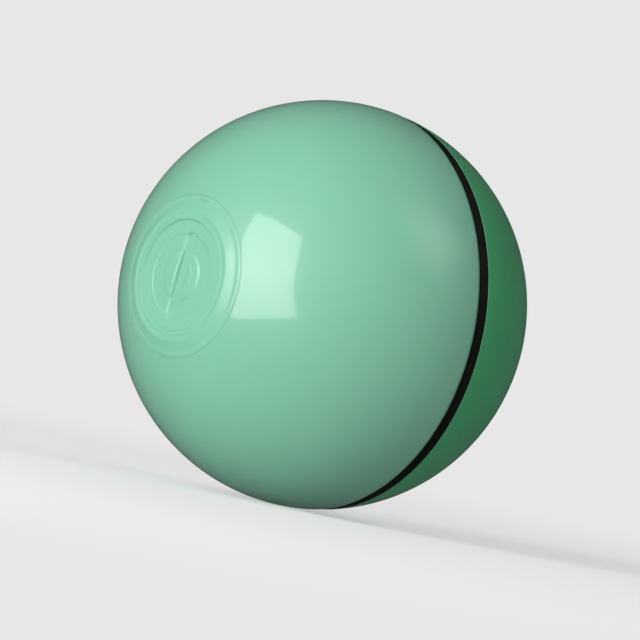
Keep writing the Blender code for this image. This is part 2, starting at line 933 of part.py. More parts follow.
def build_rear_housing(core, plastic):
    start_x = plate_back_x + gap
    dome_inside = core_sphere - core_wall
    outline = [
        (axle_floor_x - axle_floor_thickness, axle_radius + gap),
        (axle_floor_x, axle_radius + gap),
        (axle_floor_x, axle_pocket_radius),
    ]
    outline += sphere_arc(core_sphere, axle_pocket_radius, core_radius, inner_arc_steps, 1)
    outline += [(start_x, core_radius), (start_x, core_inside)]
    pocket_outside = axle_pocket_radius + core_wall
    outline += sphere_arc(dome_inside, core_inside, pocket_outside, inner_arc_steps, 1)
    outline.append((axle_floor_x - axle_floor_thickness, pocket_outside))
    housing = add_object("core_rear_housing", turned(outline, inner_segments), plastic, core)
    for index, place in enumerate(housing_screw_places()):
        post = drum(housing_post_radius, start_x, start_x + housing_post_length)
        join(housing, f"rear_post_{index + 1}", post, core, (0, *place))
        hole_end_x = start_x + housing_post_length - screw_bite
        hole = drum(screw_radius + gap, start_x - overrun, hole_end_x, screw_segments)
        cut(housing, f"rear_post_hole_{index + 1}", hole, core, (0, *place))


def build_gearbox_plate(core, plastic, steel):
    plate = drum(core_radius, plate_front_x, plate_back_x, inner_segments)
    plate = add_object("gearbox_plate", plate, plastic, core)
    for side in (-1, 1):
        place = (0, side * board_post_y, board_post_z)
        post = drum(board_post_radius, plate_front_x + plate_thickness / 2, board_front_x - gap)
        join(plate, f"board_post_{side}", post, core, place)
        hole = drum(screw_radius + gap, plate_front_x - overrun, board_front_x, screw_segments)
        cut(plate, f"board_post_hole_{side}", hole, core, place)
    holes = [(screw_radius + gap, place) for place in housing_screw_places()]
    holes += [(screw_radius + gap, (side * weight_screw_y, weight_screw_z)) for side in (-1, 1)]
    holes += [
        (motor_boss_radius + gap, motor_place),
        (gear_bore, second_place),
        (gear_bore, first_place),
        (cable_hole_radius, (0, cable_z)),
    ]
    for index, (radius, place) in enumerate(holes):
        hole = drum(radius, plate_front_x - overrun, plate_back_x + overrun, screw_segments)
        cut(plate, f"plate_hole_{index + 1}", hole, core, (0, *place))


def build_counterweight(core, iron, steel):
    radius = core_inside - gap
    back_x = motor_back_x
    outline = segment_outline(radius, weight_top_z, above=False)
    weight = add_object("counterweight", extruded(outline, motor_front_x, back_x), iron, core)
    cradle = drum(
        motor_radius + gap, motor_front_x - overrun, back_x + overrun, inner_segments
    )
    cut(weight, "motor_cradle", cradle, core, (0, *motor_place))
    for index, side in enumerate((-1, 1)):
        place = (side * weight_screw_y, weight_screw_z)
        name = f"weight_screw_{index + 1}"
        screw(name, plate_front_x - gap, 1, screw_length, place, core, steel)
        hole_end_x = plate_front_x + screw_length + gap
        hole = drum(screw_radius + gap, motor_front_x - overrun, hole_end_x, screw_segments)
        cut(weight, f"weight_hole_{index + 1}", hole, core, (0, *place))


def build_motor(core, steel, plastic, brass):
    outline = (
        (motor_front_x - motor_boss_height, motor_shaft_radius + gap),
        (motor_front_x - motor_boss_height, motor_boss_radius),
        (motor_front_x, motor_boss_radius),
        (motor_front_x, motor_radius),
        (motor_back_x, motor_radius),
        (motor_back_x, 0),
        (motor_front_x + motor_shaft_depth + gap, 0),
        (motor_front_x + motor_shaft_depth + gap, motor_shaft_radius + gap),
    )
    place = (0, *motor_place)
    add_object("motor_can", turned(outline, inner_segments), steel, core, place)
    bell = drum(motor_radius - motor_bell_inset, motor_back_x + gap, bell_back_x, inner_segments)
    add_object("motor_end_bell", bell, plastic, core, place)
    for index, side in enumerate((-1, 1)):
        low_y = side * terminal_offset - terminal_thickness / 2
        tab = block(
            (bell_back_x + gap, low_y, -terminal_width / 2),
            (bell_back_x + gap + terminal_length, low_y + terminal_thickness, terminal_width / 2),
        )
        add_object(f"motor_terminal_{index + 1}", tab, brass, core, place)


def build_battery(core, foil, plastic):
    middle_z = battery_bottom_z + battery_length / 2
    cell = extruded(
        round_box(battery_width, battery_length, battery_round), battery_front_x, battery_back_x
    )
    add_object("battery_cell", cell, foil, core, (0, 0, middle_z))
    outline = segment_outline(tray_radius, tray_top_z, above=False)
    tray = add_object("battery_tray", extruded(outline, tray_front_x, tray_back_x), plastic, core)
    pocket = block(
        (battery_front_x - gap, -battery_width / 2 - gap, pocket_bottom_z),
        (tray_back_x + overrun, battery_width / 2 + gap, tray_top_z + overrun),
    )
    cut(tray, "battery_pocket", pocket, core)
    notch_half_width = motor_lead_offset + lead_radius + 2 * gap
    lead_notch = block(
        (
            tray_front_x - overrun,
            motor_place[0] - notch_half_width,
            motor_place[1] - terminal_width,
        ),
        (battery_front_x, motor_place[0] + notch_half_width, tray_top_z + overrun),
    )
    cut(tray, "terminal_notch", lead_notch, core)


def build_circuit_board(core, laminate, black, steel):
    outline = segment_outline(board_radius, board_bottom_z, above=True)
    board = extruded(outline, board_front_x, board_back_x)
    board = add_object("circuit_board", board, laminate, core)
    for index, side in enumerate((-1, 1)):
        place = (side * board_post_y, board_post_z)
        hole = drum(
            screw_radius + gap, board_front_x - overrun, board_back_x + overrun, screw_segments
        )
        cut(board, f"board_hole_{index + 1}", hole, core, (0, *place))
        length = board_thickness + board_post_height
        screw(f"board_screw_{index + 1}", board_back_x + gap, -1, length, place, core, steel)
    seat_x = board_back_x + gap
    chip = block(
        (seat_x, chip_y - chip_size / 2, chip_z - chip_size / 2),
        (seat_x + chip_height, chip_y + chip_size / 2, chip_z + chip_size / 2),
    )
    add_object("controller_chip", chip, black, core)
    capacitor = drum(capacitor_radius, seat_x, seat_x + capacitor_height)
    add_object("capacitor", capacitor, steel, core, (0, capacitor_y, capacitor_z))
    sensor = drum(sensor_radius, seat_x, seat_x + sensor_height)
    add_object("tilt_sensor", sensor, steel, core, (0, sensor_y, sensor_z))


def build_service_group(core, laminate, steel, black, clear, white):
    board = drum(
        stub_inside - gap, service_board_x, service_board_back_x, inner_segments
    )
    add_object("service_board", board, laminate, core)
    body = extruded(
        stadium(socket_width, socket_height), socket_front_x, socket_front_x + socket_length
    )
    socket = add_object("charge_socket", body, steel, core, (0, 0, socket_z))
    inner_width, inner_height = socket_width - 2 * socket_wall, socket_height - 2 * socket_wall
    mouth_end_x = socket_front_x + socket_mouth_depth
    mouth = extruded(stadium(inner_width, inner_height), socket_front_x - overrun, mouth_end_x)
    cut(socket, "socket_mouth", mouth, core, (0, 0, socket_z))
    tongue = block(
        (mouth_end_x - socket_tongue_length, -socket_tongue_width / 2, -socket_tongue_thickness / 2),
        (mouth_end_x + socket_wall, socket_tongue_width / 2, socket_tongue_thickness / 2),
    )
    join(socket, "socket_tongue", tongue, core, (0, 0, socket_z))
    switch_front_x = button_back_x() + button_travel + gap
    half = switch_size / 2
    switch = block(
        (switch_front_x, -half, -half),
        (service_board_x - gap, half, half),
    )
    add_object("switch_body", switch, black, core, (0, 0, button_z))
    led = block(
        (service_board_x - gap - led_height, -led_size / 2, -led_size / 2),
        (service_board_x - gap, led_size / 2, led_size / 2),
    )
    add_object("status_led", led, white, core, (0, pipe_y, pipe_z))
    pipe_end_x = service_board_x - led_height - 2 * gap
    pipe = drum(pipe_radius, socket_front_x, pipe_end_x, screw_segments)
    add_object("light_pipe", pipe, clear, core, (0, pipe_y, pipe_z))


def button_back_x():
    """The end of the power button's stem."""
    flange_end = service_face_x + face_thickness + gap + button_flange_thickness
    return flange_end + button_stem_length


def build_power_button(core, plastic):
    flange_x = service_face_x + face_thickness + gap
    flange_end = flange_x + button_flange_thickness
    outline = (
        (service_face_x - button_proud, 0),
        (service_face_x - button_proud, button_radius),
        (flange_x, button_radius),
        (flange_x, button_radius + button_flange + gap),
        (flange_end, button_radius + button_flange + gap),
        (flange_end, button_stem_radius),
        (button_back_x(), button_stem_radius),
        (button_back_x(), 0),
    )
    button = turned(outline, small_segments)
    add_object("power_button", button, plastic, core, (0, 0, button_z))


def build_first_gear(axis, nylon, steel, core):
    wheel = extruded(
        gear_outline(first_wheel_teeth, 0), first_wheel_x, first_wheel_x + gear_width
    )
    gear = add_object("first_gear", wheel, nylon, axis)
    pinion = extruded(
        gear_outline(first_pinion_teeth, first_pinion_phase),
        second_wheel_x,
        first_wheel_x + gear_width / 2,
    )
    join(gear, "first_gear_pinion", pinion, axis)
    bore = drum(gear_bore, second_wheel_x - overrun, plate_front_x, screw_segments)
    cut(gear, "first_gear_bore", bore, axis)
    pin_front_x = gear_chamber_x - core_wall / 2 + gap
    pin = drum(gear_pin_radius, pin_front_x, plate_back_x - gap, screw_segments)
    add_object("first_gear_pin", pin, steel, core, (0, *first_place))


def build_second_gear(axis, nylon, steel, core):
    wheel = extruded(
        gear_outline(second_wheel_teeth, 0), second_wheel_x, second_wheel_x + gear_width
    )
    gear = add_object("second_gear", wheel, nylon, axis)
    pinion = extruded(
        gear_outline(second_pinion_teeth, second_pinion_phase),
        hub_gear_front_x,
        second_wheel_x + gear_width / 2,
    )
    join(gear, "second_gear_pinion", pinion, axis)
    spacer_radius = gear_bore + gear_spacer_wall
    spacer = drum(spacer_radius, second_wheel_x + gear_width / 2, plate_front_x - gap)
    join(gear, "second_gear_spacer", spacer, axis)
    bore = drum(gear_bore, hub_gear_front_x - overrun, plate_front_x, screw_segments)
    cut(gear, "second_gear_bore", bore, axis)
    head_x = hub_gear_front_x - gap
    outline = (
        (head_x - gear_pin_head, 0),
        (head_x - gear_pin_head, gear_bore + gear_spacer_wall),
        (head_x, gear_bore + gear_spacer_wall),
        (head_x, gear_pin_radius),
        (plate_back_x - gap, gear_pin_radius),
        (plate_back_x - gap, 0),
    )
    pin = turned(outline, screw_segments)
    add_object("second_gear_pin", pin, steel, core, (0, *second_place))


def build_motor_rotor(axis, steel, brass):
    shaft = drum(
        motor_shaft_radius, first_wheel_x - gap, motor_front_x + motor_shaft_depth, screw_segments
    )
    add_object("motor_shaft", shaft, steel, axis)
    outline = gear_outline(motor_pinion_teeth, motor_pinion_phase)
    pinion = extruded(outline, first_wheel_x, first_wheel_x + gear_width)
    pinion = add_object("motor_pinion", pinion, brass, axis)
    bore = drum(
        motor_shaft_radius + gap, first_wheel_x - overrun, plate_front_x, screw_segments
    )
    cut(pinion, "motor_pinion_bore", bore, axis)


def build_axle(core, steel, bronze):
    pin = drum(axle_radius, axle_front_x, axle_back_x)
    add_object("rear_axle_pin", pin, steel, core)
    washer = tube(
        axle_radius + gap,
        axle_radius + gap + washer_width,
        axle_washer_x,
        axle_washer_x + washer_thickness,
        small_segments,
    )
    add_object("rear_thrust_washer", washer, bronze, core)
    washer = tube(
        stub_radius + gap,
        stub_radius + gap + washer_width,
        front_washer_x,
        front_washer_x + washer_thickness,
        inner_segments,
    )
    add_object("front_thrust_washer", washer, bronze, core)


def build_leads(core, red, black, grey):
    board_x = board_back_x + 2 * gap
    battery_top_z = battery_bottom_z + battery_length + gap + lead_radius
    battery_x = (battery_front_x + battery_back_x) / 2
    for side, colour, material in ((-1, "black", black), (1, "red", red)):
        y = side * lead_side_y
        points = (
            (battery_x, y, battery_top_z),
            (battery_x - lead_bow, y, battery_top_z + lead_drop),
            (board_x + lead_bow, y, cable_z),
            (board_x, y, cable_z),
        )
        lead(f"battery_lead_{colour}", points, lead_radius, material, core)
    terminal_x = bell_back_x + gap + terminal_length / 2
    lead_top_z = motor_place[1] + motor_radius + 2 * gap + lead_radius
    for side, colour, material in ((-1, "black", black), (1, "red", red)):
        y = motor_place[0] + side * motor_lead_offset
        points = (
            (terminal_x, y, motor_place[1]),
            (terminal_x, y, motor_place[1] + 2 * motor_lead_rise),
            (bell_back_x - motor_bell_thickness, y, lead_top_z + motor_lead_rise),
            (board_x + lead_bow, y, lead_top_z + 2 * motor_lead_rise),
            (board_x, y, board_bottom_z + lead_board_inset),
        )
        lead(f"motor_lead_{colour}", points, lead_radius, material, core)
    points = (
        (service_board_back_x + gap, 0, cable_start_z),
        (gear_chamber_x, 0, cable_start_z),
        (plate_front_x, 0, cable_z),
        (board_front_x - gap, 0, cable_z),
    )
    lead("service_cable", points, cable_radius, grey, core)


def main():
    clear_scene()
    mint = make_material("mint_gloss", (0.27, 0.56, 0.40), 0.16)
    black_rubber = make_material("black_rubber", (0.012, 0.012, 0.012), 0.60)
    black = make_material("black_plastic", (0.020, 0.020, 0.022), 0.45)
    white = make_material("white_plastic", (0.78, 0.78, 0.76), 0.40)
    grey = make_material("grey_plastic", (0.30, 0.31, 0.32), 0.45)
    nylon = make_material("nylon", (0.85, 0.83, 0.76), 0.35)
    steel = make_material("steel", (0.56, 0.57, 0.58), 0.30, 1.0)
    iron = make_material("plated_iron", (0.42, 0.42, 0.43), 0.45, 1.0)
    brass = make_material("brass", (0.78, 0.60, 0.28), 0.30, 1.0)
    bronze = make_material("bronze", (0.55, 0.36, 0.18), 0.40, 1.0)
    foil = make_material("battery_foil", (0.66, 0.68, 0.70), 0.35, 1.0)
    laminate = make_material("board_laminate", (0.03, 0.22, 0.10), 0.40)
    red = make_material("red_insulation", (0.60, 0.03, 0.03), 0.45)
    clear = make_material("clear_plastic", (0.85, 0.88, 0.90), 0.10)

    ball = empty_at("ball_centre", (0, 0, ball_radius))
    pole = empty_at("pole_frame", (0, 0, 0), ball)
    pole.rotation_euler = (0, 0, math.pi)
    first_axis = empty_at("first_gear_axis", (0, *first_place), ball)
    second_axis = empty_at("second_gear_axis", (0, *second_place), ball)
    motor_axis = empty_at("motor_axis", (0, *motor_place), ball)

    build_main_shell(ball, pole, mint)
    build_hub_gear(ball, nylon, steel)
    build_front_bush(ball, bronze)
    build_cap(ball, mint, black, bronze)
    build_traction_ring(ball, black_rubber)
    build_pole_cover(pole, mint)
    build_cover_gasket(pole, black_rubber)
    build_front_housing(ball, white, steel)
    build_rear_housing(ball, white)
    build_gearbox_plate(ball, grey, steel)
    build_counterweight(ball, iron, steel)
    build_motor(ball, steel, white, brass)
    build_battery(ball, foil, grey)
    build_circuit_board(ball, laminate, black, steel)
    build_service_group(ball, laminate, steel, black, clear, white)
    build_power_button(ball, grey)
    build_first_gear(first_axis, nylon, steel, ball)
    build_second_gear(second_axis, nylon, steel, ball)
    build_motor_rotor(motor_axis, steel, brass)
    build_axle(ball, steel, bronze)
    build_leads(ball, red, black, grey)


main()
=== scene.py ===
"""The looks of the self rolling cat ball, in metres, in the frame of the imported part.

The ball's spin axis lies along X, with the pole cover at -X and the cap at +X. The floor is at z = 0.
"""

import json
import math

import bmesh
import bpy
from mathutils import Matrix, Vector


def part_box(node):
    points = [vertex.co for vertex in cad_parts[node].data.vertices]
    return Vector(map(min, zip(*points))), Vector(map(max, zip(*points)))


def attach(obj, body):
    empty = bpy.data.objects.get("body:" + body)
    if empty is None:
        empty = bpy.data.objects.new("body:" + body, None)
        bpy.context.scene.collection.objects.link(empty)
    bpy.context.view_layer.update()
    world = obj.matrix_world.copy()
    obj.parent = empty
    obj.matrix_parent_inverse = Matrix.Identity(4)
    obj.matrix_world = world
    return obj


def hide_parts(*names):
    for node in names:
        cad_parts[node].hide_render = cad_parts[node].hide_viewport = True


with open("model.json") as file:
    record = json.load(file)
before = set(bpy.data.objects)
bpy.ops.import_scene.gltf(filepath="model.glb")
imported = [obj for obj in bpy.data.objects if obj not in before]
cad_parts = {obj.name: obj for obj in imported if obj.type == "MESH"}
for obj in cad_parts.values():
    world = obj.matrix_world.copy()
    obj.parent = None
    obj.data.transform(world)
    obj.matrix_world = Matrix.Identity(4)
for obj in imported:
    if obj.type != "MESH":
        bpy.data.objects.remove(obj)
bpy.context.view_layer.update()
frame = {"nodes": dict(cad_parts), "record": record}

# What the frame gives: the ball, its groove and its cover
shell_low, shell_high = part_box("main_shell")
cover_low, cover_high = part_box("pole_cover")
ring_low, ring_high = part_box("traction_ring")
closure_low, closure_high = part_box("closure_ring")
hub_end_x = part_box("front_bush")[1].x
axle_boss_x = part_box("rear_bush")[0].x
axle_back_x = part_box("rear_axle_pin")[1].x
ball_radius = (shell_high.z - shell_low.z) / 2
centre_z = (shell_high.z + shell_low.z) / 2
mouth_x = shell_high.x
cap_lip_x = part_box("cap_shell")[0].x
cover_radius = (cover_high.z - cover_low.z) / 2
ring_radius = (ring_high.z - ring_low.z) / 2
closure_radius = (closure_high.z - closure_low.z) / 2
neck_tip_x = closure_low.x

# Sizes that the source's solids have too, with the lugs starting on the middle of a facet
gap = 0.0003
shell_wall = 0.0020
mouth_wall = 0.0037
neck_wall = 0.0016
lug_height = 0.0008
lug_width = 0.0012
lug_inset = 0.0008
collar_overlap = 0.0008
closure_lead = 0.0090
closure_flange = 0.0020
closure_seat = 0.0014
lug_count = 3
lug_start = math.radians(3.75)
lug_span = math.radians(30)
ramp_span = math.radians(80)
ring_overhang = 0.0020
recess_floor = 0.0016
cover_flange = 0.0012
cover_plate = 0.0015
cover_neck_radius = 0.0094
cover_neck_wall = 0.0012
cover_neck_length = 0.0047
cover_lug_height = 0.0009
cover_lug_width = 0.0008
cover_lug_inset = 0.0003
cover_lead = 0.0040
cover_collar_depth = 0.0040
collar_wall = 0.0012
gasket_thickness = 0.0008
stub_hole = 0.0075
bush_lip = 0.0008
hub_radius = 0.0120
hub_bore = 0.0083
boss_bore = 0.0033
boss_radius = 0.0052
axle_end_gap = 0.0013

# Forms of the outside that are finer than in the solids
lip_round = 0.0006
cap_lip_round = 0.00005
neck_round = 0.00009
rim_round = 0.00006
cover_seam = 0.00002
tread_gap = 0.00006
tread_sink = 0.00006
tread_crown = 0.00012
gasket_round = gasket_thickness / 3
disc_radius = 0.0092
disc_sink = 0.0004

# The cover's rings as (distance from the axis, height): over the ball, then over the disc
outer_relief = (
    (0.01240, 0),
    (0.01180, -0.00009),
    (0.01030, 0),
    (0.00945, -0.00033),
    (0.00910, -0.00034),
)
inner_relief = (
    (0.00890, 0.00008),
    (0.00855, -0.00026),
    (0.00670, -0.00026),
    (0.00635, -0.00038),
    (0.00410, -0.00038),
    (0.00370, -0.00017),
    (0.00260, -0.00016),
    (0.00230, -0.00007),
)

# The coin slot and the short nick at the cover's edge
slot_length = 0.0134
slot_floor_width = 0.0019
slot_depth = 0.00030
slot_wall = 0.00020
slot_bevel = 0.00030
slot_bevel_depth = 0.00010
slot_tilt = math.radians(6)
nick_angle = math.radians(5.5)
nick_length = 0.0027
nick_width = 0.00050
nick_depth = 0.00030
nick_inset = 0.00050
nick_end_slope = 3

# How finely the outside is cut
fine_segments = 256
cover_segments = 384
arc_steps = 96
inner_arc_steps = 48
tread_steps = 48
face_steps = 140
corner_steps = 5
block_steps = 24
sharp_angle = math.radians(30)
same_place = 0.000003


def sphere_x(radius, off_axis):
    """How far from a sphere's centre, along X, its surface lies at this distance from the axis."""
    return math.sqrt(radius * radius - off_axis * off_axis)


def polar(radius, angle):
    return radius * math.cos(angle), radius * math.sin(angle)


def sphere_arc(radius, from_x, to_x, steps=arc_steps):
    """Outline points on a sphere round the ball's centre, between two places along X."""
    start, end = math.acos(from_x / radius), math.acos(to_x / radius)
    return [polar(radius, start + (end - start) * step / steps) for step in range(steps + 1)]


def rounded(outline, radii):
    """A closed outline with the corners rounded whose place in it is a key of radii."""
    points = []
    for index, corner in enumerate(outline):
        if index not in radii:
            points.append(corner)
            continue
        here = Vector(corner)
        start = here + (Vector(outline[index - 1]) - here).normalized() * radii[index]
        after = Vector(outline[(index + 1) % len(outline)])
        end = here + (after - here).normalized() * radii[index]
        for step in range(corner_steps + 1):
            share = step / corner_steps
            points.append(tuple(start.lerp(here, share).lerp(here.lerp(end, share), share)))
    return points


def turned(outline, segments=fine_segments):
    """A closed outline of (x, radius) points, turned about the spin axis."""
    bm = bmesh.new()
    rings = []
    for x, radius in outline:
        ring = []
        for step in range(segments if radius > 0 else 1):
            y, z = polar(radius, math.tau * step / segments)
            ring.append(bm.verts.new((x, y, centre_z + z)))
        rings.append(ring)
    for ring, following in zip(rings, rings[1:] + rings[:1]):
        if len(ring) == 1 and len(following) == 1:
            continue
        for step in range(segments):
            turn = (step + 1) % segments
            corners = [ring[step % len(ring)], ring[turn % len(ring)]]
            corners += [following[turn % len(following)], following[step % len(following)]]
            bm.faces.new(dict.fromkeys(corners))
    return bm


def add_blocks(bm, inner, outer, from_x, width, span, lead):
    """Adds equal blocks round the axis, which climb along X as a screw thread does."""
    for index in range(lug_count):
        columns = []
        for step in range(block_steps + 1):
            turn = span * step / block_steps
            angle = lug_start + turn + math.tau * index / lug_count
            x = from_x + lead * turn / math.tau
            corners = ((x, inner), (x, outer), (x + width, outer), (x + width, inner))
            columns.append([add_point(bm, cx, r, angle) for cx, r in corners])
        add_columns(bm, columns)


def add_point(bm, x, radius, angle):
    y, z = polar(radius, angle)
    return bm.verts.new((x, y, centre_z + z))


def add_columns(bm, columns):
    """Joins a row of closed outlines into one solid with flat ends."""
    bm.faces.new(columns[0])
    bm.faces.new(columns[-1])
    for column, following in zip(columns, columns[1:]):
        for corner in range(len(column)):
            turn = (corner + 1) % len(column)
            edge = (column[corner], column[turn])
            bm.faces.new((*edge, following[turn], following[corner]))


def turn_to_pole(bm):
    """Turns a shape whose +X points out of the cover to where the cover is, at -X."""
    half_turn = Matrix.Rotation(math.pi, 3, "Z")
    bmesh.ops.rotate(bm, verts=bm.verts, cent=(0, 0, 0), matrix=half_turn)


def join_into(bm, other):
    """Adds the faces of a second shape to the first."""
    places = {vert: bm.verts.new(vert.co) for vert in other.verts}
    for face in other.faces:
        bm.faces.new([places[vert] for vert in face.verts])
    other.free()


def make_object(name, bm, material):
    bmesh.ops.recalc_face_normals(bm, faces=bm.faces)
    mesh = bpy.data.meshes.new(name)
    bm.to_mesh(mesh)
    bm.free()
    mesh.shade_smooth()
    mesh.set_sharp_from_angle(angle=sharp_angle)
    mesh.materials.append(material)
    obj = bpy.data.objects.new(name, mesh)
    bpy.context.scene.collection.objects.link(obj)
    return obj


# Radii and places that follow from the sizes above
mouth_radius = sphere_x(ball_radius, mouth_x)
collar_radius = mouth_radius - mouth_wall
neck_radius = collar_radius - gap - lug_height
ring_inner = ring_radius - ring_overhang
cap_rebate_x = cap_lip_x + closure_flange + gap
recess_radius = cover_radius + gap
cover_edge = recess_radius - cover_seam
cover_collar_radius = cover_neck_radius + cover_lug_height + gap
cover_seat_x = sphere_x(ball_radius, cover_radius) - cover_flange
cover_neck_end_x = cover_seat_x - cover_neck_length
recess_floor_x = cover_seat_x - gasket_thickness - 2 * gap
collar_end_x = recess_floor_x - cover_collar_depth
hub_step_x = collar_end_x - bush_lip
disc_x = sphere_x(ball_radius, disc_radius) - disc_sink
slot_floor_x = disc_x + min(height for _, height in inner_relief) - slot_depth
wall_inside = ball_radius - shell_wall


# The main shell, with its hub behind the cover


def main_shell_outline():
    """The ball's wall from the cover's rim to the mouth's lip, and inside back to the hub."""
    rim_x = -sphere_x(ball_radius, recess_radius)
    collar_x = neck_tip_x - collar_overlap
    flange_x = recess_floor - recess_floor_x
    outer = sphere_arc(ball_radius, rim_x, mouth_x)
    collar = [(mouth_x, collar_radius), (collar_x, collar_radius)]
    inner = sphere_arc(wall_inside, collar_x, flange_x, inner_arc_steps)
    hub = [
        (flange_x, cover_collar_radius + collar_wall),
        (-hub_step_x, cover_collar_radius + collar_wall),
        (-hub_step_x, hub_radius),
        (hub_end_x, hub_radius),
        (hub_end_x, hub_bore),
        (-hub_step_x, hub_bore),
        (-hub_step_x, stub_hole),
        (-collar_end_x, stub_hole),
        (-collar_end_x, cover_collar_radius),
        (-recess_floor_x, cover_collar_radius),
        (-recess_floor_x, recess_radius),
    ]
    return outer + collar + inner + hub


def build_main_shell(material):
    bm = turned(rounded(main_shell_outline(), {0: rim_round, arc_steps: lip_round}))
    add_blocks(
        bm,
        neck_radius + gap,
        collar_radius + gap,
        neck_tip_x + lug_inset + lug_width + gap,
        lug_width,
        ramp_span,
        closure_lead,
    )
    ramps = bmesh.new()
    add_blocks(
        ramps,
        cover_neck_radius + gap,
        cover_collar_radius + gap,
        -(cover_neck_end_x + cover_lug_inset) + gap,
        cover_lug_width,
        ramp_span,
        cover_lead,
    )
    turn_to_pole(ramps)
    join_into(bm, ramps)
    return make_object("shell_body", bm, material)


# The cap with its closing ring, and the black ring in the groove


def cap_outline():
    """The cap's rebate, its dome from the lip to the pole, the axle's boss and the inside."""
    rebate_radius = closure_radius + gap
    seat_radius = rebate_radius - closure_seat
    boss_end_x = axle_back_x + axle_end_gap
    dome = sphere_arc(ball_radius, cap_lip_x, ball_radius)[:-1]
    boss = [
        (ball_radius, 0),
        (boss_end_x, 0),
        (boss_end_x, boss_bore),
        (axle_boss_x, boss_bore),
        (axle_boss_x, boss_radius),
    ]
    inner_start_x = sphere_x(wall_inside, boss_radius)
    inner = sphere_arc(wall_inside, inner_start_x, cap_rebate_x, inner_arc_steps)
    inner = [point for point in inner if point[1] < seat_radius]
    rebate = [(cap_rebate_x, seat_radius), (cap_rebate_x, rebate_radius)]
    return [(cap_lip_x, rebate_radius)] + dome + boss + inner + rebate


def build_cap(material):
    return make_object("cap_body", turned(rounded(cap_outline(), {1: cap_lip_round})), material)


def build_closure(material):
    ring_face_x = mouth_x + gap
    outline = [
        (neck_tip_x, neck_radius - neck_wall),
        (neck_tip_x, neck_radius),
        (ring_face_x, neck_radius),
        (ring_face_x, closure_radius),
        (cap_rebate_x - gap, closure_radius),
        (cap_rebate_x - gap, neck_radius - neck_wall),
    ]
    bm = turned(rounded(outline, {0: neck_round, 1: neck_round, 3: neck_round}))
    add_blocks(
        bm,
        neck_radius - neck_wall / 2,
        neck_radius + lug_height,
        neck_tip_x + lug_inset,
        lug_width,
        lug_span,
        closure_lead,
    )
    return make_object("closure_body", bm, material)


def build_tread(material):
    """The black ring fills the groove: a band with a low crown, a little below the cap's edge."""
    edge = sphere_x(ball_radius, cap_lip_x) - tread_sink
    half_width = (cap_lip_x - mouth_x) / 2 - tread_gap
    middle_x = (cap_lip_x + mouth_x) / 2
    outline = [(middle_x - half_width, ring_inner)]
    for step in range(tread_steps + 1):
        share = 2 * step / tread_steps - 1
        crown = tread_crown * (1 - share ** 2)
        outline.append((middle_x + share * half_width, edge + crown))
    outline.append((middle_x + half_width, ring_inner))
    return make_object("tread", turned(outline), material)


# The pole cover, made with its own +X pointing out of the ball


def smooth(share):
    """A smooth step from 0 to 1."""
    share = min(max(share, 0), 1)
    return share * share * (3 - 2 * share)


def face_levels():
    """The cover's face as (radius, place along X) levels, from its rim to its middle."""
    levels = [(cover_edge, sphere_x(ball_radius, cover_edge))]
    levels += [(radius, sphere_x(ball_radius, radius) + height) for radius, height in outer_relief]
    levels += [(radius, disc_x + height) for radius, height in inner_relief]
    return levels + [(0, levels[-1][1])]


def cover_face_x(radius):
    """How far out the cover's face lies at this distance from the axis."""
    levels = face_levels()
    for (outer, outer_x), (inner, inner_x) in zip(levels, levels[1:]):
        if radius >= inner:
            break
    share = smooth((radius - inner) / (outer - inner))
    if inner < outer_relief[-1][0]:
        return inner_x + (outer_x - inner_x) * share
    sphere = sphere_x(ball_radius, radius)
    outer_height = outer_x - sphere_x(ball_radius, outer)
    inner_height = inner_x - sphere_x(ball_radius, inner)
    return sphere + inner_height + (outer_height - inner_height) * share


def with_slot(x, y, z):
    """The face's place along X once the slot is cut: a level floor, a wall and a bevel round it."""
    along = abs(y * math.sin(slot_tilt) + z * math.cos(slot_tilt))
    across = abs(y * math.cos(slot_tilt) - z * math.sin(slot_tilt))
    past_end = max(along - (slot_length - slot_floor_width) / 2, 0)
    off_floor = math.hypot(past_end, across) - slot_floor_width / 2
    x -= slot_bevel_depth * smooth(1 - (off_floor - slot_wall) / slot_bevel)
    return x + (slot_floor_x - x) * smooth(1 - off_floor / slot_wall)


def nick_cut(y, z):
    """How deep the short nick at the cover's edge is, at a place on the face."""
    angle = math.atan2(y, z) - nick_angle
    radius = math.hypot(y, z)
    across = abs(radius - (cover_edge - nick_inset - nick_width / 2)) / (nick_width / 2)
    along = abs(angle) * cover_edge / (nick_length / 2)
    return nick_depth * smooth(1 - across) * smooth(nick_end_slope * (1 - along))


def carve_face(bm):
    """Lowers the cover's face where the slot and the nick are."""
    for vert in bm.verts:
        y, z = vert.co.y, vert.co.z - centre_z
        if abs(vert.co.x - cover_face_x(math.hypot(y, z))) < same_place:
            vert.co.x = with_slot(vert.co.x, y, z) - nick_cut(y, z)


def cover_outline():
    """The face from the middle to the rim, and the neck behind it."""
    face = []
    for step in range(face_steps + 1):
        radius = (cover_edge - 2 * rim_round) * step / face_steps
        face.append((cover_face_x(radius), radius))
    inner_radius = cover_neck_radius - cover_neck_wall
    return face + [
        (sphere_x(ball_radius, cover_edge), cover_edge),
        (cover_seat_x, cover_edge),
        (cover_seat_x, cover_neck_radius),
        (cover_neck_end_x, cover_neck_radius),
        (cover_neck_end_x, inner_radius),
        (disc_x - cover_plate, inner_radius),
        (disc_x - cover_plate, 0),
    ]


def build_cover(material):
    bm = turned(rounded(cover_outline(), {face_steps + 1: rim_round}), cover_segments)
    carve_face(bm)
    add_blocks(
        bm,
        cover_neck_radius - cover_neck_wall / 2,
        cover_neck_radius + cover_lug_height,
        cover_neck_end_x + cover_lug_inset,
        cover_lug_width,
        lug_span,
        cover_lead,
    )
    turn_to_pole(bm)
    return make_object("cover_body", bm, material)


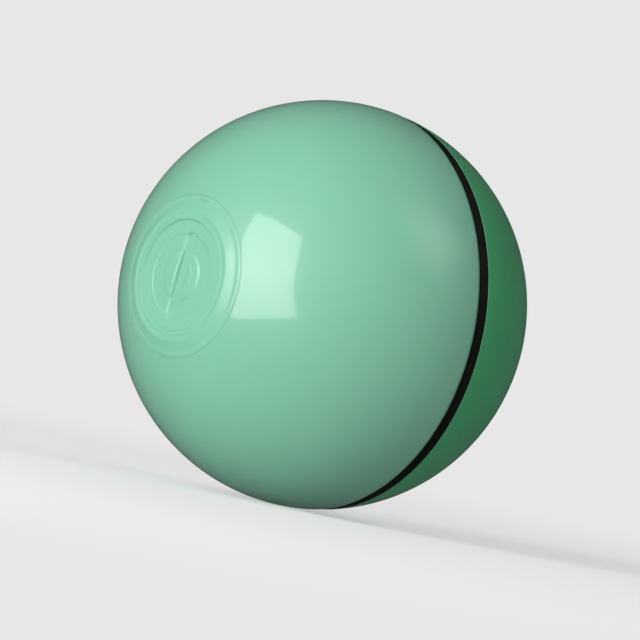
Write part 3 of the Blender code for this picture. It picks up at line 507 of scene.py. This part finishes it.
def build_gasket(material):
    back_x = cover_seat_x - gap - gasket_thickness
    outline = [
        (back_x, cover_collar_radius + gap),
        (back_x, cover_radius - gap),
        (back_x + gasket_thickness, cover_radius - gap),
        (back_x + gasket_thickness, cover_collar_radius + gap),
    ]
    bm = turned(rounded(outline, dict.fromkeys(range(len(outline)), gasket_round)))
    turn_to_pole(bm)
    return make_object("gasket_body", bm, material)


# Finishes: every one has its colour, gloss and fine relief from noise in the piece's own metres
broad_noise = 75
fine_noise = 900
noise_detail = 3
noise_reach = (0.3, 0.7)
relief_strength = 0.5
fine_relief = 0.00001

# Gloss plastic of the ball, with its second colour close to the first
mint_colours = ((0.243, 0.592, 0.412), (0.257, 0.608, 0.428))
# The cap's colours are the mint made darker and a deeper green. This is painted shade, standing in
# for the shade that lies on the cap, which is the same mint plastic as the shell.
cap_shaded_mint_colours = ((0.066, 0.480, 0.195), (0.075, 0.500, 0.208))
shell_roughness = (0.44, 0.54)
shell_relief = 0.000001
shell_sockets = {
    "IOR": 1.5,
    "Specular IOR Level": 0.8,
    "Subsurface Weight": 0.60,
    "Subsurface Radius": (0.4, 1.0, 0.7),
    "Subsurface Scale": 0.0012,
    "Coat Weight": 0.85,
}
coat_roughness = 0.08
cover_coat_roughness = 0.24

# The other finishes: a colour, a second one close to it, and the spread of the roughness
plastics = {
    "black_plastic": ((0.010, 0.010, 0.011), (0.018, 0.018, 0.019), (0.35, 0.5)),
    "white_plastic": ((0.62, 0.62, 0.60), (0.70, 0.70, 0.68), (0.35, 0.5)),
    "grey_plastic": ((0.16, 0.17, 0.18), (0.20, 0.21, 0.22), (0.4, 0.55)),
    "nylon": ((0.66, 0.64, 0.56), (0.74, 0.72, 0.64), (0.35, 0.5)),
    "red_insulation": ((0.42, 0.012, 0.010), (0.52, 0.020, 0.015), (0.32, 0.45)),
}
metals = {
    "steel": ((0.50, 0.51, 0.52), (0.60, 0.61, 0.62), (0.22, 0.38)),
    "plated_iron": ((0.36, 0.36, 0.35), (0.46, 0.46, 0.44), (0.38, 0.55)),
    "brass": ((0.72, 0.52, 0.22), (0.80, 0.60, 0.28), (0.22, 0.36)),
    "bronze": ((0.46, 0.29, 0.14), (0.58, 0.38, 0.20), (0.36, 0.52)),
}
rubber_look = ((0.004, 0.006, 0.004), (0.009, 0.008, 0.006), (0.55, 0.70))
rubber_sockets = {"Specular IOR Level": 0.25}
clear_look = ((0.85, 0.9, 0.88), (0.8, 0.86, 0.84), (0.08, 0.2))
clear_sockets = {"Transmission Weight": 0.7, "IOR": 1.49}
foil_look = ((0.42, 0.44, 0.47), (0.52, 0.54, 0.57), (0.28, 0.42))
foil_relief = 0.00005
laminate_colours = ((0.012, 0.09, 0.04), (0.010, 0.075, 0.032))
laminate_roughness = (0.3, 0.42)
track_colour = (0.05, 0.22, 0.09)
track_scale = 320
track_width = 0.035


def finish_nodes(name):
    """A new material, its node maker, its links and its shader."""
    material = bpy.data.materials.new(name)
    material.use_nodes = True
    tree = material.node_tree
    return material, tree.nodes, tree.links, tree.nodes["Principled BSDF"]


def set_sockets(shader, values):
    for name, value in values.items():
        shader.inputs[name].default_value = value


def noise_value(nodes, links, scale):
    """Noise in the piece's own coordinates."""
    place = nodes.new("ShaderNodeTexCoord")
    noise = nodes.new("ShaderNodeTexNoise")
    noise.inputs["Scale"].default_value = scale
    noise.inputs["Detail"].default_value = noise_detail
    links.new(place.outputs["Object"], noise.inputs["Vector"])
    return noise.outputs["Fac"]


def between(nodes, links, value, low, high):
    """A number that follows the noise from low to high."""
    reach = nodes.new("ShaderNodeMapRange")
    reach.inputs["From Min"].default_value = noise_reach[0]
    reach.inputs["From Max"].default_value = noise_reach[1]
    reach.inputs["To Min"].default_value = low
    reach.inputs["To Max"].default_value = high
    links.new(value, reach.inputs["Value"])
    return reach.outputs["Result"]


def colour_between(nodes, links, value, low, high):
    """A colour that follows the noise from low to high."""
    mix = nodes.new("ShaderNodeMix")
    mix.data_type = "RGBA"
    mix.inputs["A"].default_value = (*low, 1)
    mix.inputs["B"].default_value = (*high, 1)
    links.new(between(nodes, links, value, 0, 1), mix.inputs["Factor"])
    return mix.outputs["Result"]


def add_relief(nodes, links, shader, value, distance):
    bump = nodes.new("ShaderNodeBump")
    bump.inputs["Strength"].default_value = relief_strength
    bump.inputs["Distance"].default_value = distance
    links.new(value, bump.inputs["Height"])
    links.new(bump.outputs["Normal"], shader.inputs["Normal"])


def moulded(name, colour, deep, roughness, relief=fine_relief, sockets=None):
    """A finish of two close colours, with a spread of roughness and a fine relief."""
    material, nodes, links, shader = finish_nodes(name)
    broad = noise_value(nodes, links, broad_noise)
    fine = noise_value(nodes, links, fine_noise)
    tint = colour_between(nodes, links, broad, colour, deep)
    links.new(tint, shader.inputs["Base Color"])
    links.new(between(nodes, links, fine, *roughness), shader.inputs["Roughness"])
    add_relief(nodes, links, shader, fine, relief)
    set_sockets(shader, sockets or {})
    return material


def glossy_shell(name, colours, coat):
    """Gloss plastic that lets a little light through, under a clear coat of this roughness."""
    sockets = {**shell_sockets, "Coat Roughness": coat}
    return moulded(name, *colours, shell_roughness, shell_relief, sockets)


def board_laminate():
    """Green laminate with paler copper tracks under the varnish."""
    material = moulded("board_laminate", *laminate_colours, laminate_roughness)
    nodes, links = material.node_tree.nodes, material.node_tree.links
    place = nodes.new("ShaderNodeTexCoord")
    mapping = nodes.new("ShaderNodeMapping")
    mapping.inputs["Rotation"].default_value = (0, math.pi / 2, 0)
    tracks = nodes.new("ShaderNodeTexBrick")
    tracks.inputs["Scale"].default_value = track_scale
    tracks.inputs["Mortar Size"].default_value = track_width
    tracks.inputs["Color1"].default_value = (*laminate_colours[0], 1)
    tracks.inputs["Color2"].default_value = (*laminate_colours[1], 1)
    tracks.inputs["Mortar"].default_value = (*track_colour, 1)
    links.new(place.outputs["Object"], mapping.inputs["Vector"])
    links.new(mapping.outputs["Vector"], tracks.inputs["Vector"])
    links.new(tracks.outputs["Color"], nodes["Principled BSDF"].inputs["Base Color"])
    return material


finishes = {
    "mint_plastic": glossy_shell("mint_plastic", mint_colours, coat_roughness),
    "black_rubber": moulded("black_rubber", *rubber_look, sockets=rubber_sockets),
    "clear_plastic": moulded("clear_plastic", *clear_look, sockets=clear_sockets),
    "battery_foil": moulded("battery_foil", *foil_look, relief=foil_relief),
    "board_laminate": board_laminate(),
}
for name, look in plastics.items():
    finishes[name] = moulded(name, *look)
for name, look in metals.items():
    finishes[name] = moulded(name, *look, sockets={"Metallic": 1})
# The cap's finish carries the painted shade: its colours are the darkened mint.
cap_shaded_mint_finish = glossy_shell("mint_plastic_cap_painted_shade", cap_shaded_mint_colours, coat_roughness)
cover_finish = glossy_shell("mint_plastic_cover", mint_colours, cover_coat_roughness)

for subpart in frame["record"]["subparts"]:
    node = frame["nodes"][subpart["node"]]
    node.data.materials.clear()
    node.data.materials.append(finishes[subpart["material_slot"]])


# The pieces that stand for the solids of the outside


def place_piece(piece, node, body):
    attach(piece, body)
    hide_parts(node)


mint = finishes["mint_plastic"]
rubber = finishes["black_rubber"]
place_piece(build_main_shell(mint), "main_shell", "shell")
place_piece(build_cap(cap_shaded_mint_finish), "cap_shell", "cap")
place_piece(build_cover(cover_finish), "pole_cover", "cover")
place_piece(build_tread(rubber), "traction_ring", "ring_carrier")
closure = build_closure(finishes["black_plastic"])
place_piece(closure, "closure_ring", "cap")
place_piece(build_gasket(rubber), "cover_gasket", "gasket_carrier")


# The camera, on the level of the ball's centre and rolled as in the photograph
view_back = Vector((-0.674, -0.738, 0)).normalized()
camera_roll = math.radians(11.7)
camera_distance = 1.2
camera_lens = 432
view_depth = 12.0
aim_right = 0.00036
aim_up = 0.00237
centre = Vector((0, 0, centre_z))

level_right = Vector((0, 0, 1)).cross(view_back)
view_right = math.cos(camera_roll) * level_right + math.sin(camera_roll) * Vector((0, 0, 1))
view_up = view_back.cross(view_right)


def add_camera():
    camera = bpy.data.objects.new("camera", bpy.data.cameras.new("camera"))
    bpy.context.scene.collection.objects.link(camera)
    camera.data.lens = camera_lens
    camera.data.clip_end = view_depth
    turn = Matrix((view_right, view_up, view_back)).transposed()
    aim = centre - aim_right * view_right - aim_up * view_up
    camera.matrix_world = Matrix.Translation(aim + camera_distance * view_back) @ turn.to_4x4()
    bpy.context.scene.camera = camera


# The stage: a pale floor that runs into a pale world, soft lamps, and the window seen in the gloss
backdrop = 0.80
backdrop_in_gloss = 0.06
ambient = 0.23
floor_half = 6.0
floor_blend = (0.05, 0.42)
floor_shade = 0.50
floor_lit = 0.74
floor_in_bounce = 0.75

# The window, with its corners from the ball's centre along the camera's axes: right, up and back
window_level = 4.6
window_corners = (
    (-0.3156, 0.4506, 0.2608),
    (-0.0950, 0.3288, 0.4299),
    (-0.1426, 0.0720, 0.4957),
    (-0.1311, -0.0712, 0.5539),
    (-0.4815, -0.0674, 0.3540),
)

# Each lamp: its place along the same axes, half its width and its level
side_place = (0.415, 0.250, 0.124)
side_half = 0.24
soft_lamps = {
    "key": ((-0.52, 0.22, 0.72), 0.45, 11.6),
    "side_fill": (side_place, side_half, 2.2),
    "back_fill": ((0.10, 0.20, -0.90), 0.45, 6.0),
}
side_window = (side_place, side_half, 1.2)


def light_path_level(nodes, links, seen, gloss, other):
    """A level for the camera, also through glass, one for reflections and one for all other rays."""
    path = nodes.new("ShaderNodeLightPath")
    direct = nodes.new("ShaderNodeMath")
    direct.operation = "MAXIMUM"
    links.new(path.outputs["Is Camera Ray"], direct.inputs[0])
    links.new(path.outputs["Is Transmission Ray"], direct.inputs[1])
    level = other
    for is_ray, value in ((path.outputs["Is Glossy Ray"], gloss), (direct.outputs[0], seen)):
        mix = nodes.new("ShaderNodeMix")
        if isinstance(level, float):
            mix.inputs["A"].default_value = level
        else:
            links.new(level, mix.inputs["A"])
        mix.inputs["B"].default_value = value
        links.new(is_ray, mix.inputs["Factor"])
        level = mix.outputs["Result"]
    return level


def set_world():
    world = bpy.data.worlds.new("world")
    world.use_nodes = True
    nodes, links = world.node_tree.nodes, world.node_tree.links
    background = nodes["Background"]
    background.inputs["Color"].default_value = (1, 1, 1, 1)
    level = light_path_level(nodes, links, backdrop, backdrop_in_gloss, ambient)
    links.new(level, background.inputs["Strength"])
    bpy.context.scene.world = world


def math_node(nodes, links, operation, first, second):
    """One sum with two numbers, each a socket or a plain number."""
    node = nodes.new("ShaderNodeMath")
    node.operation = operation
    for socket, value in zip(node.inputs, (first, second)):
        if isinstance(value, (int, float)):
            socket.default_value = value
        else:
            links.new(value, socket)
    return node.outputs["Value"]


def faded(nodes, links, level, start, end):
    """A level that falls to 0 between two distances from the piece's own origin."""
    place = nodes.new("ShaderNodeTexCoord")
    length = nodes.new("ShaderNodeVectorMath")
    length.operation = "LENGTH"
    links.new(place.outputs["Object"], length.inputs[0])
    fall = nodes.new("ShaderNodeMapRange")
    fall.interpolation_type = "SMOOTHSTEP"
    set_sockets(fall, {"From Min": start, "From Max": end, "To Min": level, "To Max": 0})
    links.new(length.outputs["Value"], fall.inputs["Value"])
    return fall.outputs["Result"]


def floor_material():
    """Pale, with a soft shadow near the ball, and farther off as bright as the world behind it."""
    material, nodes, links, shader = finish_nodes("floor")
    nodes.remove(shader)
    shade = faded(nodes, links, floor_shade, *floor_blend)
    share = light_path_level(nodes, links, 1.0, floor_in_bounce, floor_in_bounce)
    paint = nodes.new("ShaderNodeBsdfDiffuse")
    links.new(math_node(nodes, links, "MULTIPLY", shade, share), paint.inputs["Color"])
    level = light_path_level(nodes, links, backdrop, backdrop_in_gloss, ambient)
    taken = math_node(nodes, links, "MULTIPLY", shade, floor_lit / backdrop)
    rest = math_node(nodes, links, "SUBTRACT", 1.0, taken)
    glow = nodes.new("ShaderNodeEmission")
    links.new(math_node(nodes, links, "MULTIPLY", rest, level), glow.inputs["Strength"])
    both = nodes.new("ShaderNodeAddShader")
    links.new(paint.outputs["BSDF"], both.inputs[0])
    links.new(glow.outputs["Emission"], both.inputs[1])
    links.new(both.outputs["Shader"], nodes["Material Output"].inputs["Surface"])
    return material


def add_sheet(name, corners, material):
    """A flat sheet whose own origin is the mean of its corners."""
    middle = sum((Vector(corner) for corner in corners), Vector()) / len(corners)
    mesh = bpy.data.meshes.new(name)
    places = [tuple(Vector(corner) - middle) for corner in corners]
    mesh.from_pydata(places, [], [tuple(range(len(places)))])
    mesh.materials.append(material)
    sheet = bpy.data.objects.new(name, mesh)
    sheet.location = middle
    bpy.context.scene.collection.objects.link(sheet)
    return sheet


def lamp_material(name, level, fade=None):
    """A glowing sheet, fading from its middle to this distance if one is given."""
    material, nodes, links, shader = finish_nodes(name)
    nodes.remove(shader)
    glow = nodes.new("ShaderNodeEmission")
    glow.inputs["Strength"].default_value = level
    if fade:
        links.new(faded(nodes, links, level, 0, fade), glow.inputs["Strength"])
    links.new(glow.outputs["Emission"], nodes["Material Output"].inputs["Surface"])
    return material


def in_view(right, up, back):
    """A place given from the ball's centre along the camera's own axes."""
    return centre + right * view_right + up * view_up + back * view_back


def add_panel(name, corners, level, fade=None):
    """A lamp that neither the camera nor any shadow shows."""
    panel = add_sheet(name, corners, lamp_material(name, level, fade))
    panel.visible_camera = False
    panel.visible_shadow = False
    return panel


def square_facing(middle, half):
    """The corners of a square that faces the ball."""
    facing = (middle - centre).normalized()
    across = facing.cross(view_up).normalized() * half
    along = facing.cross(across).normalized() * half
    return [
        middle + across + along,
        middle - across + along,
        middle - across - along,
        middle + across - along,
    ]


def add_lamp(name, place, half, level):
    """A soft square lamp that faces the ball and fades toward its edges."""
    return add_panel(name, square_facing(in_view(*place), half), level, half)


def set_stage():
    half = floor_half
    corners = [(-half, -half, 0), (half, -half, 0), (half, half, 0), (-half, half, 0)]
    floor = add_sheet("floor", corners, floor_material())
    floor.visible_glossy = False
    add_panel("window", [in_view(*place) for place in window_corners], window_level)
    add_lamp("side_window", *side_window)
    for name, lamp in soft_lamps.items():
        add_lamp(name, *lamp).visible_glossy = False


add_camera()
set_world()
set_stage()
bpy.context.scene.view_settings.view_transform = "Standard"
